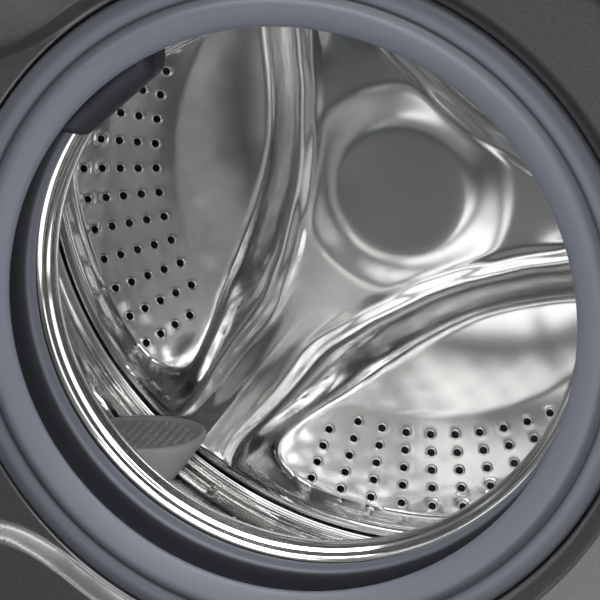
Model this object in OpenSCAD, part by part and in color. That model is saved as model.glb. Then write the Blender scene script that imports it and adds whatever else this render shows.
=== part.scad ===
// Front load washing machine, built as the real one comes apart on a bench.
// Frame: +Z up, +X to the right and -Y towards the person in front of it.
// The origin is on the floor, under the middle of the cabinet.

/* [Cabinet] */
// Width of the cabinet
cabinet_w = 598; // [590:1:600]
// Height of the worktop above the floor
cabinet_h = 848; // [840:1:860]
// Flat front face of the front panel (negative is towards the user)
front_y = -295; // [-300:1:-290]
// Rear face of the rear panel
rear_y = 290; // [280:1:300]
// Thickness of the sheet steel
sheet = 1.2; // [0.8:0.1:1.5]
// Height of the drum axis above the floor
axis_z = 430; // [425:1:435]

/* [Door opening] */
// Radius of the hole in the front panel
hole_r = 176.3; // [176:0.1:177]
// Outer radius of the step round the hole
step_r = 189; // [187:1:191]
// Outer radius of the door recess
recess_r = 229; // [227:1:231]
// Depth of the door recess
recess_d = 6; // [4:1:8]
// Depth of the inner land and the hinge pocket below the recess
land_d = 10; // [8:1:11]
// Half height of the hinge pocket
pocket_hz = 130; // [126:1:134]
// Left edge of the hinge pocket
pocket_x = -236; // [-240:1:-234]

/* [Drum] */
// Inner radius of the drum shell
drum_r = 240; // [236:1:242]
// Plane of the perforated back wall
back_y = 52; // [46:1:56]
// How far the three-armed star stands into the drum
star_h = 60; // [50:1:64]
// Front end of the drum shell
drum_front_y = -222; // [-226:1:-218]
// Radius of the drum mouth
mouth_r = 143.5; // [142:0.5:146]
// Height of a lifter above the shell
lifter_h = 55; // [45:1:60]
// Angle of the first star arm and lifter
star_angle = 233; // [0:1:360]

/* [Tub and drive] */
// Inner radius of the tub
tub_r = 253; // [251:1:255]
// Tub wall thickness
tub_t = 4; // [3:0.5:5]
// Radius of the drum pulley
pulley_r = 135; // [130:1:140]
// Radius of the motor pulley
motor_pulley_r = 10; // [9:0.5:11]
// Sideways offset of the motor shaft
motor_x = 60; // [50:1:70]
// Height of the motor shaft above the floor
motor_z = 105; // [100:1:110]

/* [Door] */
// Outer radius of the door
door_r = 220; // [216:1:221]
// Hinge axis, from the middle
hinge_x = -214; // [-216:1:-212]
// Hinge axis, front to back
hinge_y = -320; // [-324:1:-316]
// How far the door stands open at rest, in degrees
door_open = 110; // [90:1:120]

/* [Fascia] */
// Bottom edge of the control fascia
fascia_z = 718; // [712:1:722]
// Left edge of the detergent drawer
drawer_x0 = -283; // [-285:1:-280]
// Right edge of the detergent drawer
drawer_x1 = -108; // [-112:1:-104]
// Place of the programme knob across the front
knob_x = 0; // [-10:1:10]
// Place of the start button across the front
button_x = 235; // [225:1:240]

/* [Hidden] */
$fn = 96;
half_w = cabinet_w / 2;
floor_gap = 22;
top_z = cabinet_h - 18;
recess_y = front_y + recess_d;
land_y = recess_y + land_d;
star_y = back_y - star_h;
pitch = 120;
tub_out = tub_r + tub_t;
tub_front_y = -246;
tub_rear_y = 100;
steel_grey = "#8d9094";
panel_grey = "#4b4b4d";
rubber_grey = "#7a808c";
drum_steel = "#c9cacb";
plastic_black = "#222326";
plastic_grey = "#8f9296";
plastic_white = "#d9dbd8";
concrete_grey = "#9d9b94";
zinc = "#b6b8ba";
foot_x = 265;
foot_front_y = -247.5;
foot_rear_y = 247.5;
foot_places = [[-foot_x, foot_front_y], [foot_x, foot_front_y], [-foot_x, foot_rear_y], [foot_x, foot_rear_y]];
damper_x = 170;
damper_y = -60;
spring_x = 205;
spring_y = 8;
spring_low_z = 600;
spring_high_z = 785;
plug_x = 150;
plug_low_z = 260;
plug_high_z = 640;
inlet_x = -200;
inlet_z = 800;
drain_x = 180;
drain_z = 790;
gland_x = 250;
gland_z = 150;
pump_x = 205;
pump_z = 78;

// A box from its lowest to its highest corner.
module box(lo, hi) {
    translate(lo) cube(hi - lo);
}

// Turns a profile drawn as [radius, y] into a solid of revolution about the drum axis.
module turned(points) {
    translate([0, 0, axis_z]) rotate([-90, 0, 0]) rotate_extrude($fn = 144) polygon(points);
}

// A plain ring about the drum axis.
module ring(r_in, r_out, y0, y1) {
    translate([0, y0, axis_z]) rotate([-90, 0, 0]) difference() {
        cylinder(h = y1 - y0, r = r_out, $fn = 144);
        translate([0, 0, -1]) cylinder(h = y1 - y0 + 2, r = r_in, $fn = 144);
    }
}

// A round bar or hole along Y.
module bar_y(x, z, r, y0, y1) {
    translate([x, y0, z]) rotate([-90, 0, 0]) cylinder(h = y1 - y0, r = r);
}

// Places its children at an angle about the drum axis, with +X outwards.
module at_angle(a) {
    translate([0, 0, axis_z]) rotate([0, -a, 0]) children();
}

// An outline drawn as seen from the front, made solid between two depths.
module plate(y0, y1) {
    translate([0, y1, 0]) rotate([90, 0, 0]) linear_extrude(y1 - y0) children();
}

// A rectangle with round corners.
module round_rect(x0, x1, z0, z1, r) {
    for (x = [x0 + r, x1 - r], z = [z0 + r, z1 - r]) translate([x, z]) circle(r = r, $fn = 48);
    translate([x0 + r, z0]) square([x1 - x0 - 2 * r, z1 - z0]);
    translate([x0, z0 + r]) square([x1 - x0, z1 - z0 - 2 * r]);
}

// Turns the closed door's pieces to where the door stands at rest.
module swung() {
    translate([hinge_x, hinge_y, 0]) rotate([0, 0, -door_open])
        translate([-hinge_x, -hinge_y, 0]) children();
}

// ---------------------------------------------------------------- cabinet

// One side of the cabinet: a flat sheet with its edges folded inwards.
module side_panel(side) {
    x0 = half_w - sheet;
    mirror([side < 0 ? 1 : 0, 0, 0]) {
        box([x0, front_y + 14, floor_gap], [half_w, rear_y - 1, top_z]);
        box([half_w - 14, front_y + 14, floor_gap], [x0, front_y + 14 + sheet, top_z]);
        box([half_w - 16, rear_y - 1 - sheet, floor_gap], [x0, rear_y - 1, top_z]);
        box([half_w - 20, front_y + 14, floor_gap], [x0, rear_y - 1, floor_gap + sheet]);
    }
}

module side_panel_left() {
    color(panel_grey) side_panel(-1);
}

module side_panel_right() {
    color(panel_grey) side_panel(1);
}

// The rear panel: a sheet with a round service opening, transit bolt holes and outlets.
module rear_panel() {
    color(steel_grey) difference() {
        union() {
            box([-half_w + 17, rear_y - 1 - sheet, floor_gap], [half_w - 17, rear_y - 1, top_z]);
            for (x = [-240, 240 - 6]) box([x, rear_y - 9, 180], [x + 6, rear_y - 2.2, 700]);
        }
        bar_y(0, axis_z, 168, rear_y - 12, rear_y + 2);
        for (x = [-plug_x, plug_x], z = [plug_low_z - 40, plug_high_z + 40])
            bar_y(x, z, 14, rear_y - 12, rear_y + 2);
        bar_y(inlet_x, inlet_z, 14, rear_y - 12, rear_y + 2);
        bar_y(drain_x, drain_z, 13, rear_y - 12, rear_y + 2);
        bar_y(gland_x, gland_z, 11, rear_y - 12, rear_y + 2);
        for (i = [0:6]) box([-90 + 26 * i, rear_y - 3, 770], [-76 + 26 * i, rear_y + 1, 778]);
    }
}

// The pressed dish that covers the belt and the pulley.
module rear_service_cover() {
    color(steel_grey) turned([
        [0, rear_y + 6], [150, rear_y + 6], [160, rear_y], [180, rear_y], [180, rear_y - 1],
        [160, rear_y - 1], [150, rear_y + 5], [0, rear_y + 5]
    ]);
}

// The worktop: a laminated board in a moulded frame.
module worktop() {
    color(panel_grey) difference() {
        union() {
            box([-half_w, front_y + 3, top_z], [half_w, rear_y, cabinet_h]);
            box([-half_w + 20, front_y + 24, top_z - 6], [half_w - 20, rear_y - 30, top_z]);
        }
        box([-half_w + 24, front_y + 28, top_z - 8], [half_w - 24, rear_y - 34, top_z + 4]);
    }
}

// The pocket of the door hinge, drawn as seen from the front.
module pocket_outline(wall) {
    difference() {
        translate([0, axis_z]) round_rect(pocket_x + wall, -100, -pocket_hz + wall, pocket_hz - wall, 10);
        translate([0, axis_z]) circle(r = step_r - 5 - wall, $fn = 144);
    }
}

// The front panel: recess for the door, step down to the gasket, and hinge pocket.
module front_panel() {
    s = sheet;
    color(panel_grey) difference() {
        union() {
            difference() {
                box([-half_w, front_y, 107], [half_w, front_y + s, fascia_z - 2]);
                bar_y(0, axis_z, recess_r + 1, front_y - 2, front_y + 3);
                plate(front_y - 1, front_y + 3) pocket_outline(0);
            }
            difference() {
                turned([
                    [recess_r + 2, front_y], [recess_r, front_y], [recess_r - 5, recess_y],
                    [step_r, recess_y], [step_r - 9, land_y], [hole_r, land_y], [hole_r, land_y + 9],
                    [hole_r + s, land_y + 9], [hole_r + s, land_y + s], [step_r - 9.5, land_y + s],
                    [step_r - 0.5, recess_y + s], [recess_r - 5.5, recess_y + s],
                    [recess_r - 0.5, front_y + s], [recess_r + 2, front_y + s]
                ]);
                plate(front_y - 1, land_y - 0.01) pocket_outline(0);
            }
            difference() {
                plate(front_y, land_y + s) pocket_outline(0);
                plate(front_y - 1, land_y) pocket_outline(s);
                plate(front_y - 2, recess_y) intersection() {
                    translate([0, axis_z]) circle(r = recess_r - 5, $fn = 144);
                    translate([-260, axis_z - 200]) square([260, 400]);
                }
                bar_y(0, axis_z, step_r - 4.5, front_y - 2, land_y);
            }
            for (side = [-1, 1]) mirror([side < 0 ? 1 : 0, 0, 0])
                box([half_w - s, front_y + s, 107], [half_w, front_y + 13, fascia_z - 2]);
            box([-half_w, front_y + s, 107], [half_w, front_y + 13, 107 + s]);
        }
        box([190.5, front_y - 2, axis_z - 13], [218, front_y + 12, axis_z + 13]);
    }
}

// The plinth below the front panel, with the opening of the service flap.
module plinth_panel() {
    color(panel_grey) difference() {
        box([-half_w, front_y + 1, floor_gap + 4], [half_w, front_y + 3.5, 105]);
        box([150, front_y, 35], [262, front_y + 5, 100]);
    }
    color(panel_grey) for (side = [-1, 1]) mirror([side < 0 ? 1 : 0, 0, 0])
        box([half_w - 3, front_y + 3.5, floor_gap + 4], [half_w, front_y + 13, 105]);
}

// The base: four rails, foot plates with threaded holes, and damper lugs.
module base_frame() {
    color(zinc) difference() {
        union() {
            for (side = [-1, 1]) mirror([side < 0 ? 1 : 0, 0, 0])
                box([230, front_y + 22, floor_gap + 2], [half_w - 4, rear_y - 10, floor_gap + 8]);
            box([-230, front_y + 22, floor_gap + 2], [230, front_y + 60, floor_gap + 8]);
            box([-230, rear_y - 60, floor_gap + 2], [230, rear_y - 10, floor_gap + 8]);
            box([-230, damper_y - 22, floor_gap + 2], [230, damper_y + 22, floor_gap + 8]);
            for (p = foot_places) translate([p[0], p[1], floor_gap + 8]) cylinder(h = 12, r = 14);
        }
        for (p = foot_places) translate([p[0], p[1], 0]) cylinder(h = 60, r = 5.06);
    }
}

// The two bars across the top that hold the cabinet square and hang the tub.
module top_crossmember() {
    color(zinc) difference() {
        union() {
            box([-half_w + 3, spring_y - 22, 800], [half_w - 3, spring_y + 22, 803]);
            for (y = [spring_y - 22, spring_y + 19]) box([-half_w + 3, y, 803], [half_w - 3, y + 3, 820]);
            for (side = [-1, 1]) box([side * spring_x - 12, spring_y - 2, 772], [side * spring_x + 12, spring_y + 2, 800]);
        }
        for (side = [-1, 1]) bar_y(side * spring_x, spring_high_z + 1.5, 4.5, spring_y - 4, spring_y + 4);
    }
}

// The control fascia: a moulded shell with openings for drawer, knob, display and button.
module control_fascia() {
    color(plastic_black) difference() {
        box([-half_w, front_y - 5, fascia_z], [half_w, front_y + 14, top_z]);
        box([-half_w + 3, front_y - 2, fascia_z + 3], [half_w - 3, front_y + 15, top_z - 3]);
        box([drawer_x0 - 1, front_y - 6, fascia_z + 11], [drawer_x1 + 1, front_y + 2, top_z - 11]);
        bar_y(knob_x, fascia_z + 56, 24, front_y - 6, front_y + 2);
        box([70, front_y - 6, fascia_z + 36], [200, front_y + 2, fascia_z + 80]);
        bar_y(button_x, fascia_z + 56, 12.3, front_y - 6, front_y + 2);
    }
}

// The dark window over the display.
module display_window() {
    color("#0c0d10") box([70.2, front_y - 5.4, fascia_z + 36.2], [199.8, front_y - 1, fascia_z + 79.8]);
}

// The fixed trough that the detergent drawer slides in, with its spout to the tub.
module dispenser_housing() {
    color(plastic_white) difference() {
        union() {
            box([drawer_x0 - 4, front_y + 16, fascia_z + 6], [drawer_x1 + 4, -25, top_z - 8]);
            translate([-180, -60, fascia_z - 24]) cylinder(h = 32, r = 18);
        }
        box([drawer_x0 - 1.5, front_y + 10, fascia_z + 9], [drawer_x1 + 1.5, -28, top_z - 11]);
        translate([-180, -60, fascia_z - 30]) cylinder(h = 45, r = 15);
    }
}

// The inlet valve with its threaded nipple through the rear panel.
module inlet_valve() {
    color(plastic_white) {
        bar_y(inlet_x, inlet_z, 13.2, rear_y - 12, rear_y + 12);
        bar_y(inlet_x, inlet_z, 20, rear_y - 20, rear_y - 12);
        box([inlet_x - 16, rear_y - 62, inlet_z - 16], [inlet_x + 16, rear_y - 20, inlet_z + 16]);
        translate([inlet_x, rear_y - 45, inlet_z - 40]) cylinder(h = 26, r = 14);
    }
}

// The power and display electronics in their closed box.
module control_module() {
    color(plastic_grey) {
        box([30, front_y + 16, fascia_z + 20], [255, front_y + 60, top_z - 14]);
        box([34, front_y + 60, fascia_z + 30], [120, front_y + 74, top_z - 24]);
        bar_y(knob_x, fascia_z + 56, 14, front_y + 16, front_y + 32);
    }
}

// The strain relief where the mains lead comes in.
module cable_gland() {
    color(plastic_black) translate([gland_x, rear_y - 8, gland_z]) rotate([-90, 0, 0]) difference() {
        union() {
            cylinder(h = 24, r = 10.8);
            translate([0, 0, 9]) cylinder(h = 5, r = 16);
            translate([0, 0, -6]) cylinder(h = 11, r = 15);
        }
        translate([0, 0, -8]) cylinder(h = 40, r = 4.5);
    }
}

// The drain pump: filter barrel towards the front, volute and motor behind.
module drain_pump_body() {
    color(plastic_white) difference() {
        union() {
            bar_y(pump_x, pump_z, 32, front_y + 16, front_y + 92);
            bar_y(pump_x, pump_z, 38, front_y + 88, front_y + 108);
            bar_y(pump_x, pump_z, 26, front_y + 108, front_y + 150);
            translate([pump_x - 60, front_y + 60, pump_z + 18]) rotate([0, 90, 0]) cylinder(h = 40, r = 14);
            translate([pump_x - 46, front_y + 60, pump_z + 12]) cylinder(h = 46, r = 16);
            box([pump_x - 50, front_y + 70, floor_gap + 8.2], [pump_x + 30, front_y + 84, pump_z - 20]);
        }
        bar_y(pump_x, pump_z, 29, front_y + 15, front_y + 88);
        bar_y(pump_x, pump_z, 30, front_y + 91, front_y + 104);
        bar_y(pump_x, pump_z, 12, front_y + 86, front_y + 92);
    }
}

// The rubber bellows between the tub's sump and the pump.
module sump_hose() {
    color(plastic_black) translate([pump_x - 46, front_y + 60, 0]) rotate_extrude() polygon([
        [16.4, 112], [20, 112], [20, 126], [26, 131], [20, 136], [26, 141], [20, 146], [26, 151],
        [20, 156], [26, 161], [20, 166], [20, 184], [16.4, 184]
    ]);
}

// The outlet elbow that the drain hose is pushed onto.
module drain_outlet() {
    color(plastic_grey) difference() {
        union() {
            bar_y(drain_x, drain_z, 11, rear_y, rear_y + 12);
            bar_y(drain_x, drain_z, 12.4, rear_y - 40, rear_y);
            bar_y(drain_x, drain_z, 18, rear_y - 10, rear_y - 4);
        }
        bar_y(drain_x, drain_z, 8.5, rear_y - 34, rear_y + 14);
    }
}

// The four caps in the holes of the transit bolts.
module transport_plugs() {
    color(plastic_grey) for (x = [-plug_x, plug_x], z = [plug_low_z - 40, plug_high_z + 40]) {
        bar_y(x, z, 13.8, rear_y - 8, rear_y - 0.5);
        bar_y(x, z, 18, rear_y - 1, rear_y + 3);
    }
}

// Screws of the service cover and the worktop.
module panel_screws() {
    color(zinc) {
        for (a = [0:60:300]) at_angle(a) translate([174, rear_y, 0]) rotate([-90, 0, 0]) cylinder(h = 3, r = 4.5);
        for (x = [-270, 270]) bar_y(x, top_z - 8, 4.5, rear_y - 1, rear_y + 2);
    }
}

// The steel plate and knuckles that carry the door.
module hinge_bracket() {
    color(zinc) {
        plate(land_y - 4, land_y) difference() {
            translate([0, axis_z]) round_rect(-222, -140, -98, 98, 12);
            translate([0, axis_z]) circle(r = step_r - 4.3, $fn = 144);
        }
        difference() {
            for (z = [-62, 34]) {
                box([hinge_x - 7, hinge_y, axis_z + z], [hinge_x + 7, land_y - 4, axis_z + z + 28]);
                translate([hinge_x, hinge_y, axis_z + z]) cylinder(h = 28, r = 7);
            }
            translate([hinge_x, hinge_y, axis_z - 80]) cylinder(h = 160, r = 4.05);
        }
    }
}

// The lock behind the front panel, which catches the door hook.
module door_lock() {
    color(plastic_black) difference() {
        box([190.5, recess_y + 2, axis_z - 32], [228, recess_y + 36, axis_z + 32]);
        box([189, recess_y + 1, axis_z - 14], [220, recess_y + 32, axis_z + 14]);
    }
}

// The door gasket: lip on the panel, groove, ridge, main face, deep fold and inner bead.
module door_gasket() {
    y = land_y;
    color(rubber_grey) turned([
        [175.6, y + 9], [175.6, y + 2.5], [175.8, y - 1], [171, y - 2.5], [165, y - 2.6],
        [163, y - 0.6], [161, y - 2.6], [158, y - 6], [153, y - 5], [147, y - 2], [145, y + 1],
        [147, y + 4], [156, y + 8], [160, y + 14], [157, y + 20], [150, y + 22], [145, y + 27],
        [144.5, y + 36], [146, y + 42], [150, y + 43], [151, y + 39], [163, y + 38], [163, y + 23.2],
        [166, y + 22], [168, y + 14], [164, y + 7], [166, y + 4], [171, y + 5], [172, y + 9]
    ]);
}

// The sprung wire that holds the gasket's lip in its groove.
module gasket_clamp() {
    color(zinc) translate([0, land_y + 12, axis_z]) rotate([-90, 0, 0])
        rotate_extrude($fn = 144) translate([174, 0]) circle(r = 1.6, $fn = 24);
}

// The fixed cylinders of the two dampers.
module damper_cylinders() {
    color(plastic_black) for (side = [-1, 1]) translate([side * damper_x, damper_y, 0]) difference() {
        union() {
            translate([0, 0, 34]) cylinder(h = 106, r = 15);
            box([-12, -9, floor_gap + 8], [12, 9, 36]);
        }
        translate([0, 0, 40]) cylinder(h = 110, r = 8.1);
    }
}

// Points on a circle of a spring's wire at one place along the coil.
function coil_ring(t, turns, r, z0, z1, wire) = [
    for (k = [0:7]) let (a = 360 * turns * t, b = 45 * k)
        [(r + wire * cos(b)) * cos(a), (r + wire * cos(b)) * sin(a), z0 + (z1 - z0) * t + wire * sin(b)]
];

// One close-wound extension spring.
module coil(turns, r, z0, z1, wire) {
    steps = turns * 14;
    points = [for (i = [0:steps]) each coil_ring(i / steps, turns, r, z0, z1, wire)];
    sides = [for (i = [0:steps - 1], k = [0:7])
        [8 * i + k, 8 * i + (k + 1) % 8, 8 * (i + 1) + (k + 1) % 8, 8 * (i + 1) + k]];
    ends = [[for (k = [7:-1:0]) k], [for (k = [0:7]) 8 * steps + k]];
    polyhedron(points, concat(sides, ends));
}

// The two springs that the tub hangs from.
module suspension_springs() {
    color(zinc) for (side = [-1, 1]) translate([side * spring_x, spring_y, 0]) {
        coil(16, 13, spring_low_z + 16, spring_high_z - 22, 2);
        for (z = [[spring_low_z + 6, spring_low_z + 15], [spring_high_z - 21, spring_high_z - 13]])
            translate([0, 0, z[0]]) cylinder(h = z[1] - z[0], r = 1.9, $fn = 24);
    }
}

// ---------------------------------------------------------------- tub

// The front half of the tub, with the mouth that the gasket is clamped to.
module tub_front() {
    color(plastic_white) turned([
        [164, -255], [168, -255], [168, tub_front_y - 4], [tub_out, tub_front_y - 4],
        [tub_out, -70], [tub_out + 8, -70], [tub_out + 8, -64.2], [tub_r, -64.2], [tub_r, tub_front_y],
        [164, tub_front_y]
    ]);
    color(plastic_white) difference() {
        translate([pump_x - 46, front_y + 60, 178]) cylinder(h = 90, r = 16);
        translate([pump_x - 46, front_y + 60, 170]) cylinder(h = 110, r = 12);
        ring(0, tub_r + 2, -300, 0);
    }
}

// The rear half of the tub, with the bearing hub, ribs and lugs for springs and motor.
module tub_rear() {
    color(plastic_white) difference() {
        union() {
            ring(tub_r, tub_out, -64, tub_rear_y + 4);
            ring(tub_out, tub_out + 8, -64, -58);
            ring(44, tub_out, tub_rear_y, tub_rear_y + 6);
            ring(36, 48, tub_rear_y - 4, 182);
            for (a = [0:30:330]) at_angle(a) translate([47, tub_rear_y + 4, -2]) cube([tub_out - 60, 26, 4]);
            for (side = [-1, 1]) {
                box([side * spring_x - 10, spring_y - 4, 560], [side * spring_x + 10, spring_y + 4, 606]);
                box([side * damper_x - 14, damper_y - 3.9, 214], [side * damper_x + 14, damper_y + 14, 262]);
                box([motor_x + side * 36 - 8, 70, 150], [motor_x + side * 36 + 8, 96, 196]);
            }
        }
        ring(0, tub_r, -80, tub_rear_y);
        ring(0, 36, tub_rear_y - 10, 190);
        for (side = [-1, 1]) bar_y(side * spring_x, spring_low_z + 1, 4.5, spring_y - 6, spring_y + 6);
    }
}

// The concrete weights on the front and the top of the tub.
module counterweights() {
    color(concrete_grey) {
        translate([0, -268, axis_z]) rotate([-90, 0, 0]) rotate([0, 0, 48])
            rotate_extrude(angle = 84, $fn = 144) translate([186, 0]) square([64, 18]);
        difference() {
            box([-90, -205, 640], [190, 15, 748]);
            ring(0, tub_out + 0.1, -300, 100);
            ring(0, tub_out + 8.5, -75, -50);
        }
    }
}

// The tubular heating element in the bottom of the tub.
module heater() {
    color(steel_grey) {
        for (x = [-14, 14]) translate([x, -20, axis_z - drum_r - 7]) rotate([-90, 0, 0]) cylinder(h = 118, r = 3, $fn = 32);
        translate([0, -20, axis_z - drum_r - 7]) rotate([0, 0, 180]) rotate_extrude(angle = 180, $fn = 48)
            translate([14, 0]) circle(r = 3, $fn = 32);
    }
}

// The drive motor under the tub.
module motor_body() {
    color(steel_grey) {
        bar_y(motor_x, motor_z, 50, 60, 180);
        bar_y(motor_x, motor_z, 40, 48, 60);
        for (side = [-1, 1]) box([motor_x + side * 36 - 9, 96, 128], [motor_x + side * 36 + 9, 120, 172]);
    }
}

// The two roller bearings of the drum shaft.
module tub_bearings() {
    color(zinc) for (b = [[108, 19], [158, 18]]) {
        ring(30.5, 35.9, b[0], b[0] + b[1]);
        ring(17.55, 23, b[0], b[0] + b[1]);
        for (a = [0:40:320]) at_angle(a) translate([26.75, b[0] + 4, 0]) rotate([-90, 0, 0])
            cylinder(h = b[1] - 8, r = 3.7, $fn = 32);
    }
}

// The lip seal in front of the bearings.
module shaft_seal() {
    color(plastic_black) ring(17.6, 35.9, 97, 106);
}

// The rods of the dampers, pinned under the tub.
module damper_rods() {
    color(zinc) for (side = [-1, 1]) translate([side * damper_x, damper_y, 0]) {
        translate([0, 0, 62]) cylinder(h = 152, r = 8);
    }
}

// The flat ribbed belt round both pulleys.
module belt_outline(grow) {
    dx = motor_x;
    dz = motor_z - axis_z;
    span = sqrt(dx * dx + dz * dz);
    lean = acos((pulley_r - motor_pulley_r) / span);
    line = atan2(dz, dx);
    big = pulley_r + grow;
    small = motor_pulley_r + grow;
    circle(r = big, $fn = 144);
    translate([dx, dz]) circle(r = small, $fn = 64);
    polygon([
        for (s = [-1, 1]) big * [cos(line + s * lean), sin(line + s * lean)],
        for (s = [1, -1]) [dx, dz] + small * [cos(line + s * lean), sin(line + s * lean)]
    ]);
}

module drive_belt() {
    color(plastic_black) translate([0, 0, axis_z]) plate(199, 211) difference() {
        belt_outline(3.3);
        belt_outline(0.3);
    }
}

// ---------------------------------------------------------------- drum

// The rolled shell of the drum, with a seam rib at each end.
module drum_shell() {
    color(drum_steel) turned([
        [drum_r, drum_front_y], [drum_r + 1, drum_front_y], [drum_r + 1, -20], [drum_r + 3, -16],
        [drum_r + 3, -10], [drum_r + 1, -6], [drum_r + 1, back_y], [drum_r, back_y], [drum_r, -6],
        [drum_r + 2, -10], [drum_r + 2, -16], [drum_r, -20]
    ]);
}

// Half width of a star arm at a distance from the axis.
function arm_half(r) = 20 + 0.0011 * (r - 120) * (r - 120);

// The star as seen from the front: a round boss with three waisted arms.
module star_outline(wall) {
    circle(r = 76 - wall, $fn = 96);
    for (k = [0:2]) rotate(star_angle + pitch * k) polygon([
        for (r = [60:15:225]) [min(r, 225 - wall), arm_half(r) - wall],
        for (r = [225:-15:60]) [min(r, 225 - wall), -arm_half(r) + wall]
    ]);
}

// The pressed back wall of the drum.
module drum_back() {
    color(drum_steel) difference() {
        union() {
            ring(0, drum_r - 0.1, back_y, back_y + 1);
            translate([0, 0, axis_z]) plate(star_y, back_y + 1) star_outline(0);
        }
        translate([0, 0, axis_z]) plate(star_y + 1.2, back_y + 2) star_outline(1.2);
    }
}

// The front of the drum with the rolled rim of its mouth.
module drum_front() {
    y = drum_front_y;
    color(drum_steel) turned([
        [drum_r - 0.1, y + 6], [drum_r - 0.1, y], [drum_r - 6, y - 5], [160, y - 6], [152, y - 9],
        [147, y - 10], [mouth_r, y - 6], [mouth_r, y - 1], [146, y + 1], [147, y - 1], [145, y - 3],
        [145.5, y - 6], [148, y - 8.4], [152, y - 7.6], [160, y - 4.8], [drum_r - 6.4, y - 4],
        [drum_r - 1.1, y + 1], [drum_r - 1.1, y + 6]
    ]);
}

// A hollow moulded lifter: a broad foot on the shell and a flat top with nubs.
module lifter(index) {
    y0 = star_y - 65;
    y1 = star_y - 0.6;
    color(plastic_grey) at_angle(star_angle + pitch * index) difference() {
        translate([0, y1, 0]) rotate([90, 0, 0]) linear_extrude(y1 - y0)
            polygon([[drum_r - 7.5, -58], [drum_r - lifter_h, -4], [drum_r - lifter_h + 1, 1], [drum_r - 0.8, 3]]);
        translate([0, y1 - 3, 0]) rotate([90, 0, 0]) linear_extrude(y1 - y0 - 6)
            polygon([[drum_r + 1, -58], [drum_r - lifter_h + 5, -3], [drum_r - lifter_h + 6, -1.5], [drum_r + 1, 0.5]]);
    }
}

module lifter_1() {
    lifter(0);
}

module lifter_2() {
    lifter(1);
}

module lifter_3() {
    lifter(2);
}

// The cast three-armed spider that joins the drum to its shaft.
module drum_spider() {
    color(zinc) difference() {
        union() {
            ring(0, 40, 56, 94);
            for (k = [0:2]) at_angle(star_angle + pitch * k) translate([30, 58, -16]) cube([196, 20, 32]);
            for (k = [0:2]) at_angle(star_angle + pitch * k) translate([218, 53.2, -30]) cube([18, 24, 60]);
        }
        ring(0, 17.5, 50, 100);
    }
}

module drum_shaft() {
    color(steel_grey) {
        bar_y(0, axis_z, 17.5, 56, 200);
        bar_y(0, axis_z, 9, 200, 226);
        bar_y(0, axis_z, 14, 216, 222);
    }
}

// The cast aluminium belt pulley.
module drum_pulley() {
    color(zinc) {
        ring(pulley_r - 7, pulley_r, 196, 214);
        ring(9, 26, 200, 216);
        for (a = [0:60:300]) at_angle(a) translate([24, 202, -6]) cube([pulley_r - 29, 8, 12]);
    }
}

module motor_pulley() {
    color(zinc) {
        bar_y(motor_x, motor_z, motor_pulley_r, 197, 213);
        bar_y(motor_x, motor_z, 6, 180.5, 197);
    }
}

// ---------------------------------------------------------------- door

// The gap in the door's edge that takes the hinge knuckles.
module hinge_notch() {
    box([hinge_x - 12, -350, axis_z - 63], [hinge_x + 14, -280, axis_z + 63]);
}

// The inner frame of the door, which presses on the recess and holds the glass.
module door_frame() {
    color(plastic_grey) swung() difference() {
        turned([
            [150, -309], [214, -309], [door_r - 3, -307], [door_r - 3, -293], [206, -292],
            [180, -296], [166, -300], [150, -301]
        ]);
        box([190, -312, axis_z - 15], [214, -285, axis_z + 15]);
        hinge_notch();
    }
}

// The outer ring of the door with its round front.
module door_ring() {
    color(plastic_black) swung() difference() {
        turned([
            [152, -309.3], [152, -322], [160, -336], [176, -341], [194, -339], [208, -331],
            [door_r, -316], [door_r, -309.3]
        ]);
        box([183, -350, axis_z - 42], [212, -300, axis_z + 42]);
        hinge_notch();
    }
}

// The pressed glass bowl that reaches into the mouth of the drum.
module door_glass() {
    color([0.75, 0.85, 0.85, 0.4]) swung() turned([
        [0, -196], [70, -190], [108, -184], [122, -190], [130, -214], [135, -250], [138, -286],
        [148, -292], [164, -296], [164, -299.5], [149.8, -299.5], [149.8, -320], [0, -322], [0, -317],
        [144.8, -315], [144.8, -298], [134, -289], [131, -251], [126, -215], [118, -194], [107, -189],
        [70, -195], [0, -201]
    ]);
}

// The steel arm inside the door that turns on the hinge pin.
module door_arm() {
    color(zinc) swung() {
        translate([hinge_x, hinge_y, axis_z - 70]) cylinder(h = 140, r = 4);
        translate([hinge_x, hinge_y, axis_z - 33]) cylinder(h = 66, r = 6.5);
        box([hinge_x, hinge_y - 4, axis_z - 33], [hinge_x + 14, hinge_y + 4, axis_z + 33]);
        box([hinge_x + 8, hinge_y + 4, axis_z - 33], [hinge_x + 14, hinge_y + 22, axis_z + 33]);
    }
}

// The pull handle in the ring.
module door_handle() {
    color(plastic_grey) swung() {
        translate([188, -328, axis_z - 40]) cylinder(h = 80, r = 4.5);
        box([190, -334, axis_z - 40], [210, -328, axis_z + 40]);
        box([206, -334, axis_z - 40], [210, -322, axis_z + 40]);
    }
}

// The sprung hook that the lock catches.
module door_hook() {
    color(zinc) swung() {
        translate([202, -303, axis_z - 9]) cylinder(h = 18, r = 4);
        box([200, -303, axis_z - 6], [204, -268, axis_z + 6]);
        box([200, -272, axis_z - 6], [211, -266, axis_z + 6]);
    }
}

// ---------------------------------------------------------------- controls

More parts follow.
